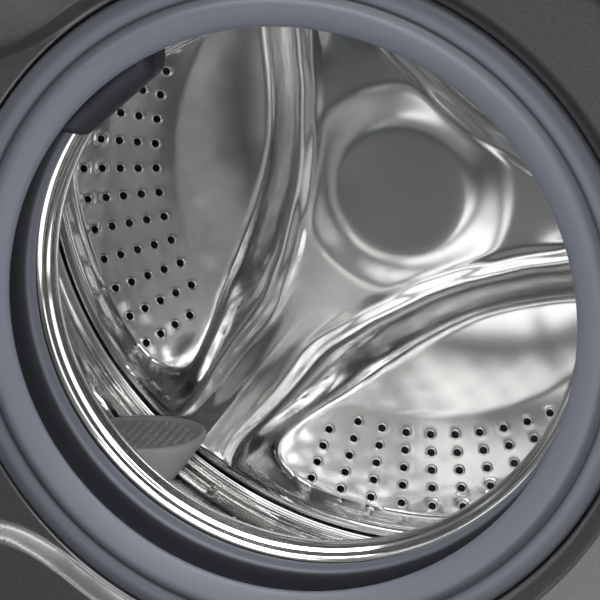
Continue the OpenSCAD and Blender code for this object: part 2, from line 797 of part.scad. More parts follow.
// The detergent drawer with its three chambers and its front.
module detergent_drawer() {
    z0 = fascia_z + 11.5;
    z1 = top_z - 11.5;
    color(plastic_white) difference() {
        box([drawer_x0, front_y + 1, z0], [drawer_x1, -40, z0 + 62]);
        box([drawer_x0 + 3, front_y + 8, z0 + 3], [drawer_x0 + 70, -44, z0 + 64]);
        box([drawer_x0 + 73, front_y + 8, z0 + 3], [drawer_x0 + 112, -44, z0 + 64]);
        box([drawer_x0 + 115, front_y + 8, z0 + 3], [drawer_x1 - 3, -44, z0 + 64]);
    }
    color(plastic_black) difference() {
        box([drawer_x0 + 0.2, front_y - 7, z0 + 0.4], [drawer_x1 - 0.2, front_y + 1, z1 - 0.4]);
        box([drawer_x0 + 40, front_y - 8, z0 - 1], [drawer_x1 - 40, front_y - 2, z0 + 22]);
    }
}

module program_knob() {
    color(plastic_grey) translate([knob_x, front_y - 5.5, fascia_z + 56]) rotate([90, 0, 0]) {
        difference() {
            cylinder(h = 20, r = 27);
            translate([-1.2, 8, 17]) cube([2.4, 18, 5]);
        }
        translate([0, 0, -20]) cylinder(h = 20, r = 5);
    }
}

module start_button() {
    color(plastic_grey) bar_y(button_x, fascia_z + 56, 12, front_y - 8, front_y + 9);
}

module service_flap() {
    color(panel_grey) {
        box([150.5, front_y + 1, 40], [261.5, front_y + 3.5, 99.5]);
        translate([151, front_y + 4, 39]) rotate([0, 90, 0]) cylinder(h = 110, r = 2, $fn = 32);
    }
}

module pump_filter() {
    color(plastic_black) {
        bar_y(pump_x, pump_z, 28.7, front_y + 15, front_y + 34);
        bar_y(pump_x, pump_z, 28.7, front_y + 9, front_y + 15.7);
        box([pump_x - 22, front_y + 4.5, pump_z - 4], [pump_x + 22, front_y + 9, pump_z + 4]);
        for (a = [0:45:315]) translate([pump_x, front_y + 34, pump_z]) rotate([0, a, 0])
            translate([24, 0, -2]) cube([4, 44, 4]);
        difference() {
            bar_y(pump_x, pump_z, 28.5, front_y + 74, front_y + 79);
            bar_y(pump_x, pump_z, 20, front_y + 73, front_y + 80);
        }
    }
}

// A levelling foot: rubber pad and threaded rod.
module foot(index) {
    p = foot_places[index];
    color(plastic_black) translate([p[0], p[1], 0]) {
        cylinder(h = 9, r = 21);
        translate([0, 0, 9]) cylinder(h = 6, r = 10);
    }
    color(zinc) translate([p[0], p[1], 15]) cylinder(h = 45, r = 5);
}

module foot_1() {
    foot(0);
}

module foot_2() {
    foot(1);
}

module foot_3() {
    foot(2);
}

module foot_4() {
    foot(3);
}

side_panel_left();
side_panel_right();
rear_panel();
rear_service_cover();
worktop();
front_panel();
plinth_panel();
base_frame();
top_crossmember();
control_fascia();
display_window();
dispenser_housing();
inlet_valve();
control_module();
cable_gland();
drain_pump_body();
sump_hose();
drain_outlet();
transport_plugs();
panel_screws();
hinge_bracket();
door_lock();
door_gasket();
gasket_clamp();
damper_cylinders();
suspension_springs();
tub_front();
tub_rear();
counterweights();
heater();
motor_body();
tub_bearings();
shaft_seal();
damper_rods();
drive_belt();
drum_shell();
drum_back();
drum_front();
lifter_1();
lifter_2();
lifter_3();
drum_spider();
drum_shaft();
drum_pulley();
motor_pulley();
door_frame();
door_ring();
door_glass();
door_arm();
door_handle();
door_hook();
detergent_drawer();
program_knob();
start_button();
service_flap();
pump_filter();
foot_1();
foot_2();
foot_3();
foot_4();
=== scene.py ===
"""Front load washing machine, seen from the front with its door open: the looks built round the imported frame.
Frame: +Z up, +X to the right and -Y towards the person in front of it, in metres."""

import math

import bpy
import numpy as np
from mathutils import Matrix, Vector


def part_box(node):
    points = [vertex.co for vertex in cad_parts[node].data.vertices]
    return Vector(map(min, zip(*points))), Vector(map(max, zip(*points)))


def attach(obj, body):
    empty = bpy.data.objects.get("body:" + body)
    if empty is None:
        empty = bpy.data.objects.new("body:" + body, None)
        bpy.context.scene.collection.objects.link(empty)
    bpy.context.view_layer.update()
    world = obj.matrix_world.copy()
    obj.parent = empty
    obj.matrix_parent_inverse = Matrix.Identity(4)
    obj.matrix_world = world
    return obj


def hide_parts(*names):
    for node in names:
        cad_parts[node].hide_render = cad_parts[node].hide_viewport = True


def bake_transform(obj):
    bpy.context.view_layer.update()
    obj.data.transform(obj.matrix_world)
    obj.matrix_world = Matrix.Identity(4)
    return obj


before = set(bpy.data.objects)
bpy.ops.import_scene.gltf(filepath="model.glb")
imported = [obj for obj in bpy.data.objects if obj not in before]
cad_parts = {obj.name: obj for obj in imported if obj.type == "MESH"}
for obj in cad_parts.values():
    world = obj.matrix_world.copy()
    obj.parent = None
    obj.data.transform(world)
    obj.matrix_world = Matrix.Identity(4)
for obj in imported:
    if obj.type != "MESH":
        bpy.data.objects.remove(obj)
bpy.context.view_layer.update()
bpy.ops.object.select_all(action="DESELECT")

# --- Studio: pale floor, pale air and large soft lamps, with a long lens in front of the open door.
# Small cards of light just inside the drum's mouth brighten the steel. Nothing here is part of the machine.
MM = 0.001
AXIS_Z = 430 * MM
LENS_MM = 175.1


def linear(hex_colour):
    """An sRGB hex value as the linear RGBA that a shader socket takes."""
    parts = [int(hex_colour[i : i + 2], 16) / 255 for i in (1, 3, 5)]
    return tuple(c / 12.92 if c <= 0.04045 else ((c + 0.055) / 1.055) ** 2.4 for c in parts) + (1.0,)


def add_node(material, kind, links=None, **settings):
    """Adds a node: settings go on its sockets or its own properties, links maps a socket to another node's output."""
    made = material.node_tree.nodes.new(kind)
    for key, value in settings.items():
        socket = made.inputs.get(key.replace("_", " "))
        if socket is not None and not hasattr(made, key):
            socket.default_value = value
        else:
            setattr(made, key, value)
    for socket, source in (links or {}).items():
        material.node_tree.links.new(source, made.inputs[socket])
    return made


camera = bpy.data.objects.new("camera", bpy.data.cameras.new("camera"))
bpy.context.scene.collection.objects.link(camera)
camera.location = (0.3492, -1.6208, 0.8349)
camera.rotation_euler = (math.radians(74.05), 0, math.radians(14.30))
camera.data.lens = LENS_MM
camera.data.sensor_width = 36
camera.data.clip_start = 0.05
camera.data.clip_end = 100
bpy.context.scene.camera = camera
bpy.context.scene.view_settings.view_transform = "Standard"
bpy.context.scene.view_settings.look = "None"

studio_air = bpy.data.worlds.new("studio_air")
bpy.context.scene.world = studio_air
studio_air.use_nodes = True
air = studio_air.node_tree.nodes["Background"]
air.inputs["Color"].default_value = linear("#e4e6e8")
air.inputs["Strength"].default_value = 0.42
ray = add_node(studio_air, "ShaderNodeLightPath")
seen_air = add_node(studio_air, "ShaderNodeBackground", Color=linear("#e4e6e8"), Strength=0.85)
dark_room = add_node(studio_air, "ShaderNodeBackground", Color=linear("#dfe2e6"), Strength=0.30)
mirrored = add_node(
    studio_air,
    "ShaderNodeMixShader",
    {"Fac": ray.outputs["Is Glossy Ray"], 1: air.outputs[0], 2: dark_room.outputs[0]},
)
whole_air = add_node(
    studio_air,
    "ShaderNodeMixShader",
    {"Fac": ray.outputs["Is Camera Ray"], 1: mirrored.outputs[0], 2: seen_air.outputs[0]},
)
studio_air.node_tree.links.new(whole_air.outputs[0], studio_air.node_tree.nodes["World Output"].inputs["Surface"])

bpy.ops.mesh.primitive_plane_add(size=60, location=(0, 0, -0.0005))
floor = bpy.context.active_object
floor.name = "studio_floor"
bpy.ops.object.transform_apply(location=True, rotation=True, scale=True)
floor_paint = bpy.data.materials.new("floor_paint")
floor_paint.use_nodes = True
floor_nodes = floor_paint.node_tree.nodes
floor_nodes["Principled BSDF"].inputs["Base Color"].default_value = linear("#d4d5d6")
floor_nodes["Principled BSDF"].inputs["Roughness"].default_value = 0.7
dim_floor = add_node(floor_paint, "ShaderNodeBsdfDiffuse", Color=linear("#6a6a6a"))
floor_ray = add_node(floor_paint, "ShaderNodeLightPath")
floor_mix = add_node(
    floor_paint,
    "ShaderNodeMixShader",
    {
        "Fac": floor_ray.outputs["Is Glossy Ray"],
        1: floor_nodes["Principled BSDF"].outputs[0],
        2: dim_floor.outputs[0],
    },
)
floor_paint.node_tree.links.new(floor_mix.outputs[0], floor_nodes["Material Output"].inputs["Surface"])
floor.data.materials.append(floor_paint)


def softbox(name, place, target, width, height, power, only_mirrored=False):
    """A rectangular lamp that faces the target point. One that is only mirrored lights no matt surface."""
    lamp = bpy.data.lights.new(name, "AREA")
    lamp.shape = "RECTANGLE"
    lamp.size = width
    lamp.size_y = height
    lamp.energy = power
    holder = bpy.data.objects.new(name, lamp)
    bpy.context.scene.collection.objects.link(holder)
    holder.location = place
    holder.rotation_euler = (Vector(target) - Vector(place)).to_track_quat("-Z", "Y").to_euler()
    holder.visible_camera = False
    holder.visible_diffuse = not only_mirrored
    return holder


DOOR_MIDDLE = (0, -0.2, AXIS_Z)
softbox("lamp_over_camera", (0.35, -2.5, 1.75), DOOR_MIDDLE, 2.2, 1.1, 18)
softbox("lamp_overhead", (0.0, -0.9, 2.3), (0, -0.5, 0.4), 2.2, 1.4, 20)
softbox("lamp_left_front", (-1.9, -1.9, 1.2), DOOR_MIDDLE, 0.9, 1.8, 10)
softbox("lamp_right_front", (2.1, -1.3, 0.9), DOOR_MIDDLE, 0.9, 1.8, 9)
softbox("lamp_behind", (0.6, 2.8, 2.2), (0, 0, 0.4), 2.0, 1.4, 34)
softbox("card_by_the_plinth", (0.62, -1.0, 0.03), (0.62, -1.0, 1.0), 1.3, 0.9, 7, only_mirrored=True)
softbox("strip_over_camera", (0.75, -2.3, 1.5), DOOR_MIDDLE, 0.16, 1.3, 6, only_mirrored=True)
softbox("strip_overhead", (-0.1, -1.0, 2.2), (-0.1, -0.35, 0.4), 2.0, 0.5, 25, only_mirrored=True)
softbox("lamp_high_right", (1.55, -0.85, 1.95), (-0.2, -0.29, 0.28), 1.0, 0.9, 15, only_mirrored=True)
RING_GLOW = [0.35, 0.2, 0.15, 0.15, 0.15, 0.22, 0.24, 0.25, 0.4, 1.5, 1.7, 1.1]
RING_R, RING_Y = 184 * MM, -214 * MM
CARD_WIDTH, CARD_HEIGHT = 100 * MM, 70 * MM
for number, glow in enumerate(RING_GLOW):
    ring_turn = math.radians(30 * number)
    spot = Vector((RING_R * math.cos(ring_turn), RING_Y, AXIS_Z + RING_R * math.sin(ring_turn)))
    power = math.pi * CARD_WIDTH * CARD_HEIGHT * glow
    card = softbox(f"drum_card_{number + 1}", spot, spot + Vector((0, 1, 0)), CARD_WIDTH, CARD_HEIGHT, power)
    roll = Matrix.Rotation(math.pi / 2 - ring_turn, 4, "Y")
    card.rotation_euler = (roll @ card.rotation_euler.to_matrix().to_4x4()).to_euler()


# --- Enamelled cabinet sheet: deep-drawn steel, powder coated in graphite with a fine metal flake.
# The flake gives the flat faces a soft sheen and the rolled steps a clear bright line.
PANEL_GREY = "#585859"


def finish_of(name, colour, roughness, metallic=0.0, **extra):
    """A material with its one-value settings on the shader's own sockets."""
    made = bpy.data.materials.new(name)
    made.use_nodes = True
    shader = made.node_tree.nodes["Principled BSDF"]
    shader.inputs["Base Color"].default_value = linear(colour)
    shader.inputs["Roughness"].default_value = roughness
    shader.inputs["Metallic"].default_value = metallic
    for key, value in extra.items():
        shader.inputs[key.replace("_", " ")].default_value = value
    return made


def grain(material, grain_mm, depth_mm, stretch=(1, 1, 1), strength=0.35, detail=3.0):
    """A bump of noise whose grain is grain_mm across on the object."""
    nodes = material.node_tree.nodes
    place = add_node(material, "ShaderNodeTexCoord")
    sized = add_node(material, "ShaderNodeMapping", {"Vector": place.outputs["Object"]}, Scale=stretch)
    noise = add_node(
        material, "ShaderNodeTexNoise", {"Vector": sized.outputs["Vector"]}, Scale=1000 / grain_mm, Detail=detail
    )
    bump = add_node(
        material, "ShaderNodeBump", {"Height": noise.outputs["Fac"]}, Strength=strength, Distance=depth_mm * MM
    )
    material.node_tree.links.new(bump.outputs["Normal"], nodes["Principled BSDF"].inputs["Normal"])


def mottle(material, spread_mm, dark, light, detail=2.0):
    """Slow change of colour between two shades, spread_mm across."""
    place = add_node(material, "ShaderNodeTexCoord")
    noise = add_node(
        material, "ShaderNodeTexNoise", {"Vector": place.outputs["Object"]}, Scale=1000 / spread_mm, Detail=detail
    )
    ramp = add_node(material, "ShaderNodeValToRGB", {"Fac": noise.outputs["Fac"]})
    ramp.color_ramp.elements[0].position = 0.35
    ramp.color_ramp.elements[1].position = 0.65
    ramp.color_ramp.elements[0].color = linear(dark)
    ramp.color_ramp.elements[1].color = linear(light)
    shader = material.node_tree.nodes["Principled BSDF"]
    material.node_tree.links.new(ramp.outputs["Color"], shader.inputs["Base Color"])


def paint_node(names, material):
    """Gives nodes of the frame their finish."""
    for name in names:
        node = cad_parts[name]
        node.data.materials.clear()
        node.data.materials.append(material)


graphite_enamel = finish_of("graphite_enamel", PANEL_GREY, 0.34, 0.4, Coat_Weight=0.7, Coat_Roughness=0.1)
mottle(graphite_enamel, 0.8, "#505051", "#5f5f60", detail=4.0)
grain(graphite_enamel, 0.7, 0.02, strength=0.25)
paint_node(["side_panel_left", "side_panel_right", "worktop", "plinth_panel", "service_flap"], graphite_enamel)

# --- Front panel: one pressing with a drawn recess for the door, a rolled step round the hole and a hinge pocket.
# The sheet is 1.1 mm thick and its hole is flanged inwards to carry the gasket. A slot at the right takes the hook.
HOLE_R = 176.3 * MM
FRONT_Y = -295 * MM


def mesh_piece(name, points, faces, material):
    """A mesh object at the origin, with smooth faces."""
    mesh = bpy.data.meshes.new(name)
    mesh.from_pydata([tuple(p) for p in points], [], faces)
    mesh.validate()
    piece = bpy.data.objects.new(name, mesh)
    bpy.context.scene.collection.objects.link(piece)
    mesh.materials.append(material)
    mesh.polygons.foreach_set("use_smooth", [True] * len(mesh.polygons))
    mesh.update()
    return piece


def pick(piece):
    """Selects one piece alone and makes it active."""
    bpy.ops.object.select_all(action="DESELECT")
    piece.select_set(True)
    bpy.context.view_layer.objects.active = piece


def face_outwards(piece):
    """Turns every face of a closed mesh outwards."""
    pick(piece)
    bpy.ops.object.mode_set(mode="EDIT")
    bpy.ops.mesh.select_all(action="SELECT")
    bpy.ops.mesh.normals_make_consistent(inside=False)
    bpy.ops.object.mode_set(mode="OBJECT")


def apply_modifier(piece, kind, **settings):
    """Adds one modifier and applies it to the mesh."""
    modifier = piece.modifiers.new(kind.lower(), kind)
    for key, value in settings.items():
        setattr(modifier, key, value)
    pick(piece)
    bpy.ops.object.modifier_apply(modifier=modifier.name)


def thicken(piece, thickness):
    """Gives a sheet its thickness behind its face, and keeps its cut edges crisp."""
    apply_modifier(piece, "SOLIDIFY", thickness=thickness, offset=-1)
    bpy.ops.object.shade_smooth_by_angle(angle=math.radians(50))


def grid_faces(rows, columns, closed=False, skip=None):
    """Quads over a rows x columns grid of points, wrapping round if closed."""
    faces = []
    for i in range(rows - 1):
        for j in range(columns if closed else columns - 1):
            if skip is None or not skip[i, j]:
                k = (j + 1) % columns
                faces.append((i * columns + j, (i + 1) * columns + j, (i + 1) * columns + k, i * columns + k))
    return faces


def smooth(t):
    """Eases 0..1 with level ends."""
    t = np.clip(t, 0, 1)
    return t * t * (3 - 2 * t)


def soft_max(a, b, width):
    """The larger of two heights, with a fillet of about this width where they meet."""
    h = np.maximum(width - np.abs(a - b), 0) / width
    return np.maximum(a, b) + h * h * width / 4


def rounded_box(x, z, x0, x1, half_z, corner):
    """Distance from a box with rounded corners, negative inside."""
    dx = np.abs(x - (x0 + x1) / 2) - (x1 - x0) / 2 + corner
    dz = np.abs(z) - half_z + corner
    outside = np.hypot(np.maximum(dx, 0), np.maximum(dz, 0))
    return outside + np.minimum(np.maximum(dx, dz), 0) - corner


def panel_depth(x, z):
    """How far the front panel lies behind its face, at a point measured from the drum axis."""
    r = np.hypot(x, z)
    recess = 6 * MM * smooth((229.5 * MM - r) / (5.5 * MM))
    round_land = r - 184.5 * MM
    pocket = rounded_box(x, z, -231 * MM, -20 * MM, 126 * MM, 16 * MM)
    join = 22 * MM
    h = np.maximum(join - np.abs(round_land - pocket), 0) / join
    land = np.minimum(round_land, pocket) - h * h * join / 4
    t = np.clip(0.5 - land / (11 * MM), 0, 1)
    return soft_max(recess, 16 * MM * (0.6 * t + 0.4 * smooth(t)), 1.2 * MM)


panel_lo, panel_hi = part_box("front_panel")
SPOKES = 480
turn = np.arange(SPOKES) * 2 * math.pi / SPOKES
flange = [(HOLE_R + 0.4 * MM, 9 * MM), (HOLE_R + 0.4 * MM, 3.2 * MM), (HOLE_R + 0.7 * MM, 1.2 * MM)]
flange += [(HOLE_R + 1.4 * MM, 0.35 * MM)]
rings = [(np.full(SPOKES, r), np.full(SPOKES, -279 * MM + d)) for r, d in flange]
radii = np.concatenate([np.arange(178.6, 192, 1.0), np.arange(193, 240, 1.9), [243, 248, 255, 264, 274]]) * MM
for r in radii:
    x, z = r * np.cos(turn), r * np.sin(turn)
    rings.append((np.full(SPOKES, r), FRONT_Y + panel_depth(x, z)))
right, top, bottom = panel_hi.x, panel_hi.z - AXIS_Z, AXIS_Z - panel_lo.z
c, s = np.cos(turn), np.sin(turn)
edge = np.minimum(right / np.maximum(np.abs(c), 1e-6), np.where(s > 0, top, bottom) / np.maximum(np.abs(s), 1e-6))
points = [np.stack([r * c, y, r * s + AXIS_Z], 1) for r, y in rings]
for step, drop in ((0.35, 0), (0.7, 0), (None, 0), (None, 0.3), (None, 0.8), (None, 2.2), (None, 3.2), (None, 22)):
    pull = {0: 3.0, 0.3: 1.7, 0.8: 0.8, 2.2: 0.1, 3.2: 0, 22: 0}[drop] * MM
    x = np.clip(edge * c, -right + pull, right - pull)
    z = np.clip(edge * s, -bottom + pull, top - pull)
    if step is not None:
        x, z = 0.274 * c + (x - 0.274 * c) * step, 0.274 * s + (z - 0.274 * s) * step
    points.append(np.stack([x, np.full(SPOKES, FRONT_Y + drop * MM), z + AXIS_Z], 1))
lock_slot = np.zeros((len(points), SPOKES), bool)
from_right = np.minimum(np.arange(SPOKES) + 0.5, SPOKES - 0.5 - np.arange(SPOKES))
for i, (r, _) in enumerate(rings):
    lock_slot[i, from_right < 5] = 191.5 * MM < r[0] < 216 * MM
sheet_faces = grid_faces(len(points), SPOKES, closed=True, skip=lock_slot)
front_sheet = mesh_piece("front_panel_sheet", np.concatenate(points), sheet_faces, graphite_enamel)
thicken(front_sheet, 1.1 * MM)
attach(front_sheet, "cabinet")
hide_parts("front_panel")

# --- Drum back: a single bright pressing with three dished fields round a three-armed star.
# Each field has a smooth lobe near the hub and a band of punched holes with rolled rims near the shell.
BACK_Y = 52 * MM
STAR_H = 60 * MM
DRUM_R = 240 * MM
STAR_ANGLES = [233, 353, 113]
FIELD_ANGLES = [293, 53, 173]
RIM_LINE = [(0, 60), (8, 60.5), (18, 63.5), (33, 75), (39, 82), (45, 97), (49, 108), (51, 122), (51.6, 140)]
RIM_LINE += [(52.5, 158), (53.8, 178), (54.4, 190), (54.4, 203), (53, 215), (49.5, 225), (42, 231.5), (28, 233.5)]
RIM_LINE += [(14, 234), (0, 234)]
FOOT_LINE = [(0, 98), (8, 100), (20, 109), (30, 126), (38, 146), (44, 166), (48, 186), (49.5, 200), (48.8, 210)]
FOOT_LINE += [(46, 217.5), (40, 221), (26, 222.3), (12, 222.6), (0, 222.6)]
CREASE_LINE = [(0, 157.5), (15, 157.5), (29, 158.5), (36, 160), (40, 162.5), (43, 170), (45.5, 182), (47, 200)]
CREASE_LINE += [(46, 214), (43.5, 226), (41, 240), (41, 270)]


def half_outline(line):
    """A field's closed outline, mirrored about the field's middle and eased through the given places."""
    places = np.array([(r * MM * math.cos(math.radians(a)), r * MM * math.sin(math.radians(a))) for a, r in line])
    padded = np.vstack([places[1] * (1, -1), places, 2 * places[-1] - places[-2]])
    curve = []
    for i in range(1, len(padded) - 2):
        p0, p1, p2, p3 = padded[i - 1 : i + 3]
        for t in np.linspace(0, 1, 6, endpoint=False):
            square, cube = 2 * p0 - 5 * p1 + 4 * p2 - p3, 3 * p1 - p0 - 3 * p2 + p3
            curve.append(0.5 * (2 * p1 + (p2 - p0) * t + square * t**2 + cube * t**3))
    curve = np.array(curve + [places[-1]])
    outline = np.vstack([curve[::-1] * (1, -1), curve[1:]])[1:]
    for _ in range(12):
        outline = 0.5 * outline + 0.25 * np.roll(outline, 1, axis=0) + 0.25 * np.roll(outline, -1, axis=0)
    return outline


def signed_distance(px, py, outline):
    """Distance of points to a closed outline, negative inside."""
    best = np.full(px.shape, 1e9)
    inside = np.zeros(px.shape, bool)
    for (ax, ay), (bx, by) in zip(outline, np.roll(outline, -1, axis=0)):
        ex, ey = bx - ax, by - ay
        t = np.clip(((px - ax) * ex + (py - ay) * ey) / (ex * ex + ey * ey + 1e-18), 0, 1)
        best = np.minimum(best, np.hypot(px - ax - t * ex, py - ay - t * ey))
        crosses = (ay > py) != (by > py)
        inside ^= crosses & (px < ex * (py - ay) / (ey if ey else 1e-12) + ax)
    return np.where(inside, -best, best)


rim_outline, foot_outline, crease_outline = (half_outline(v) for v in (RIM_LINE, FOOT_LINE, CREASE_LINE))


def back_height(r, a):
    """Height of the pressing in front of the perforated plane, at radius r and angle a from the field's middle."""
    px, py = r * np.cos(a), r * np.sin(a)
    rim, foot, crease = (signed_distance(px, py, o) for o in (rim_outline, foot_outline, crease_outline))
    up_from_foot, down_to_rim = np.maximum(foot, 0), np.maximum(-rim, 0)
    part_way = up_from_foot / (up_from_foot + down_to_rim + 1e-9)
    rise = np.where(foot < 0, 0, np.where(rim > 0, 1, part_way))
    wall = 0.5 * smooth(rise) + 0.5 * smooth(rise * 1.12 - 0.06)
    star = STAR_H + 0.9 * MM * np.exp(-(((rim - 5.0 * MM) / (3.0 * MM)) ** 2))
    off_arm = np.abs(np.abs(a) - math.pi / 3)
    star = star + 6 * MM * smooth((66 * MM - r) / (30 * MM))
    star = star - 3.5 * MM * smooth(off_arm * r / (22 * MM)) * smooth((r - 80 * MM) / (50 * MM))
    end_fall = smooth((r - 208 * MM) / (27 * MM))
    star = star * (1 - end_fall) + 11 * MM * end_fall
    bend = np.sqrt(np.maximum(crease, 0) ** 2 + (3 * MM) ** 2) - 3 * MM
    lobe = np.where(crease > 0, 14 * MM * (1 - np.exp(-bend / (120 * MM))), 0)
    plate = lobe + 11 * MM * smooth((r - 222.5 * MM) / (13 * MM))
    seam = -7 * MM * np.exp(-(((r - 236.4 * MM) / (0.75 * MM)) ** 2))
    return plate + (star - plate) * wall + seam


HOLE_PITCH = 11.59 * MM
FIRST_ROW = 168.7 * MM
COLUMN_STEP = math.radians(5.24)
inner = np.concatenate([[2.0], np.arange(5, 36, 4.0), np.arange(37.5, 62, 1.7), np.arange(63.5, 155.5, 1.9)]) * MM
rows = FIRST_ROW + HOLE_PITCH / 6 * np.arange(-6, 29)
outer = np.concatenate([np.arange(224.4, 233, 1.6), [233.8, 235, 235.7, 236.3, 236.9, 237.6, 238.6, 239.6]]) * MM
back_r = np.concatenate([inner, rows, outer])
fine = COLUMN_STEP / 8 * np.arange(-68, 69)
spread = np.linspace(fine[-1], math.pi / 3, 25)[1:]
back_a = np.concatenate([-spread[::-1], fine, spread])

satin_steel = finish_of("pressed_stainless", "#d6d6d5", 0.14, 1.0)
mottle(satin_steel, 60, "#d0d0cf", "#dededd")
grain(satin_steel, 1.6, 0.012, stretch=(1, 0.2, 0.25), strength=0.16)


def axis_radius(material):
    """The distance of each place from the drum's axis, as a node's output."""
    place = add_node(material, "ShaderNodeTexCoord")
    flat = add_node(
        material,
        "ShaderNodeMapping",
        {"Vector": place.outputs["Object"]},
        Location=(0, 0, -AXIS_Z),
        Scale=(1, 0, 1),
    )
    made = add_node(material, "ShaderNodeVectorMath", {"Vector": flat.outputs["Vector"]}, operation="LENGTH")
    return made.outputs["Value"]


def between(material, source, low_mm, high_mm, start=0.0, end=1.0):
    """Goes from start to end as a length goes from low_mm to high_mm."""
    made = add_node(material, "ShaderNodeMapRange", {"Value": source})
    for socket, value in (("From Min", low_mm * MM), ("From Max", high_mm * MM), ("To Min", start), ("To Max", end)):
        made.inputs[socket].default_value = value
    return made.outputs[0]


steel_spread = between(satin_steel, axis_radius(satin_steel), 60, 110, 0.2, 0.13)
satin_steel.node_tree.links.new(steel_spread, satin_steel.node_tree.nodes["Principled BSDF"].inputs["Roughness"])


def punched_sheet(name, us, vs, place, holes, reach, hole_rings, material, pole=None):
    """A sheet over the grid us x vs. A hole replaces 2*reach squares each way round its grid point.
    hole_rings gives each ring's radius and height, and the last ring is left open."""
    rows_n, cols_n = len(us), len(vs)
    u, v = np.meshgrid(us, vs, indexing="ij")
    points = [place(u.ravel(), v.ravel(), 0.0)]
    skip = np.zeros((rows_n, cols_n), bool)
    count = rows_n * cols_n
    extra = []
    for i, j in holes:
        skip[i - reach : i + reach, j - reach : j + reach] = True
        walk = [(i - reach, j + k) for k in range(-reach, reach)]
        walk += [(i + k, j + reach) for k in range(-reach, reach)]
        walk += [(i + reach, j - k) for k in range(-reach, reach)]
        walk += [(i - k, j - reach) for k in range(-reach, reach)]
        loop = [a * cols_n + b for a, b in walk]
        centre, along, across = place(np.array([us[i]]), np.array([vs[j]]), None)
        border = points[0][loop] - centre
        angle = np.arctan2(border @ across, border @ along)
        previous = loop
        for radius, height in hole_rings:
            turned = radius * (np.cos(angle)[:, None] * along + np.sin(angle)[:, None] * across)
            points.append(centre + turned + np.cross(along, across) * height)
            current = list(range(count, count + len(loop)))
            count += len(loop)
            for k in range(len(loop)):
                m = (k + 1) % len(loop)
                extra.append((previous[k], current[k], current[m], previous[m]))
            previous = current
    faces = grid_faces(rows_n, cols_n, skip=skip) + extra
    if pole is not None:
        points.append(np.array([pole]))
        faces += [(count, j, j + 1) for j in range(cols_n - 1)]
    return mesh_piece(name, np.concatenate(points), faces, material)


back_rings = [(3.8 * MM, 0.02 * MM), (3.7 * MM, 0.5 * MM), (3.45 * MM, 1.0 * MM), (3.05 * MM, 1.3 * MM)]
back_rings += [(2.65 * MM, 1.25 * MM), (2.35 * MM, 0.85 * MM), (2.2 * MM, 0.1 * MM), (2.15 * MM, -2.2 * MM)]
back_holes = []
for column in range(-8, 9):
    for row in range(5):
        if abs(column) == 8 and row == 0:
            continue
        back_holes.append((len(inner) + 6 + 6 * row, len(spread) + 68 + 8 * column))


def back_place_for(middle):
    """Puts a grid of radius and angle on the drum's back, round a field whose middle is at this angle."""

    def place(r, a, height):
        if height is None:
            out = np.array([math.cos(middle + a[0]), 0, math.sin(middle + a[0])])
            round_it = np.array([-math.sin(middle + a[0]), 0, math.cos(middle + a[0])])
            here = out * r[0] + np.array([0, BACK_Y - back_height(r, a)[0], AXIS_Z])
            return here, out, round_it
        y = BACK_Y - back_height(r, a)
        return np.stack([r * np.cos(middle + a), y, r * np.sin(middle + a) + AXIS_Z], 1)

    return place


for number, field in enumerate(FIELD_ANGLES, 1):
    pole = (0, BACK_Y - STAR_H - 6 * MM, AXIS_Z)
    sector = punched_sheet(
        f"drum_back_field_{number}",
        back_r,
        back_a,
        back_place_for(math.radians(field)),
        back_holes,
        2,
        back_rings,
        satin_steel,
        pole,
    )
    thicken(sector, 0.6 * MM)
    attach(sector, "drum")
    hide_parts("drum_back")

# --- Drum shell: a rolled and seamed cylinder of bright stainless, embossed with drops and punched between them.
# It is seamed to the back by a rib, and left plain under the lifters apart from two pressed slots.
SHELL_FRONT = -222 * MM
SHELL_MM = 240
ROUND_PITCH, DEEP_PITCH = 31, 21
FIRST_DEEP = 54


def shell_relief(a, y):
    """How far the shell is pressed inwards at angle a from a lifter's foot, in radians, and place y."""
    round_mm = a * SHELL_MM
    deep = (BACK_Y - y) / MM
    relief = 2.6 * np.exp(-(((deep - 21) / 3.2) ** 2)) + 1.2 * np.exp(-(((deep - 30) / 2.0) ** 2))
    field = smooth((np.abs(round_mm - 2) - 34) / 10) * smooth((deep - 38) / 6) * smooth((262 - deep) / 8)
    row = np.round((deep - FIRST_DEEP) / DEEP_PITCH)
    shift = np.where(row % 2 == 0, 0, ROUND_PITCH / 2)
    across = (round_mm + shift + ROUND_PITCH / 2) % ROUND_PITCH - ROUND_PITCH / 2
    down = deep - FIRST_DEEP - DEEP_PITCH * row
    drop = np.exp(-((across / 9.0) ** 2) - ((down / 6.2) ** 2) ** 1.3)
    relief = relief + 1.6 * drop * field
    for level, start, end in ((38, -6, 21), (4, -6, 17)):
        along = np.maximum(np.abs(round_mm - (start + end) / 2) - (end - start) / 2, 0)
        relief = relief + 2.2 * (1 - smooth((np.hypot(along, deep - level) - 3.5) / 3.5))
    return relief * MM


bright_steel = finish_of("rolled_stainless", "#dededd", 0.1, 1.0)
mottle(bright_steel, 45, "#d8d8d7", "#e4e4e3")
grain(bright_steel, 2.2, 0.012, stretch=(1, 0.15, 1), strength=0.2)
shell_y = np.arange(BACK_Y - 11 * MM, SHELL_FRONT, -2.1 * MM)
shell_a = np.linspace(-math.pi / 3, math.pi / 3, 241)
shell_holes = []
for number in range(10):
    for j in range(6, 236, 2):
        deep = FIRST_DEEP + DEEP_PITCH * number
        i = int(round((deep - 11) / 2.1))
        round_mm = shell_a[j] * SHELL_MM
        shifted = (round_mm + (0 if number % 2 == 0 else ROUND_PITCH / 2)) % ROUND_PITCH
        if abs(shifted - ROUND_PITCH / 2) < 2.2 and abs(round_mm - 2) > 44 and 2 < i < len(shell_y) - 3:
            if not shell_holes or shell_holes[-1][0] != i or j - shell_holes[-1][1] > 3:
                shell_holes.append((i, j))
